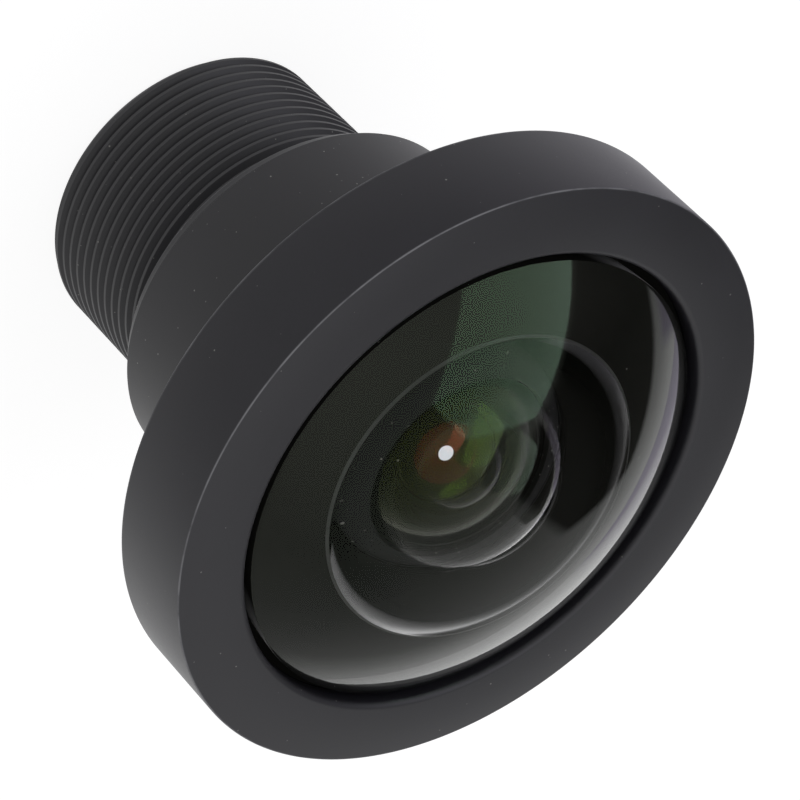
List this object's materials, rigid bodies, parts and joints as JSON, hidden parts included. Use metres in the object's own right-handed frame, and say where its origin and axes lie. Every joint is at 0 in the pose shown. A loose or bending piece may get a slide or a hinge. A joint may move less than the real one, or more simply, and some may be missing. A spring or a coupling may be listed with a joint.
{
  "type": "fisheye lens",
  "caption": "Miniature wide-angle board lens: domed front glass in a round flange, turned barrel and a fine mounting thread behind.",
  "frame": {"origin": "centre of the rear end of the threaded barrel, which is the lens's lowest plane", "axes": "+Z along the optical axis from the sensor side to the front glass; X and Y are square to it and equal, because the lens is round"},
  "size_m": [0.0242, 0.0242, 0.0224],
  "materials": {
    "black_anodised": "matte",
    "black_shim": "matte",
    "front_glass": "gloss",
    "inner_glass": "gloss",
    "filter_glass": "gloss",
    "seal_rubber": "matte",
    "spacer_black": "matte"
  },
  "bodies": {
    "housing": {"barrel": "black_anodised", "front_element": "front_glass", "front_o_ring": "seal_rubber", "flare_baffle": "black_shim", "second_element": "inner_glass", "front_spacer": "spacer_black", "third_element": "inner_glass", "stop_spacer": "spacer_black", "aperture_stop": "spacer_black", "fourth_element": "inner_glass", "rear_spacer": "spacer_black", "doublet_crown": "inner_glass", "doublet_flint": "inner_glass", "field_spacer": "spacer_black", "field_element": "inner_glass"},
    "cap_travel": {"front_gasket": "black_shim"},
    "cap": {"front_cap": "black_anodised"},
    "ring_travel": {"rear_washer": "black_shim"},
    "ring": {"rear_retaining_ring": "black_anodised", "ir_cut_filter": "filter_glass"}
  },
  "joints": [
    {"name": "front_cap_travel", "type": "slide", "parent": "housing", "child": "cap_travel", "axis": [0, 0, 1], "range_m": [0, 0.0025]},
    {"name": "front_cap_turn", "type": "hinge", "parent": "cap_travel", "child": "cap", "pos_m": [0, 0, 0.019], "axis": [0, 0, 1], "range_deg": [0, 1800]},
    {"name": "rear_ring_travel", "type": "slide", "parent": "housing", "child": "ring_travel", "axis": [0, 0, -1], "range_m": [0, 0.00125]},
    {"name": "rear_ring_turn", "type": "hinge", "parent": "ring_travel", "child": "ring", "pos_m": [0, 0, 0.0013], "axis": [0, 0, -1], "range_deg": [0, 900]}
  ],
  "couplings": [
    {"joint": "front_cap_turn", "follows": "front_cap_travel", "rad_per_m": 12566},
    {"joint": "rear_ring_turn", "follows": "rear_ring_travel", "rad_per_m": 12566}
  ]
}
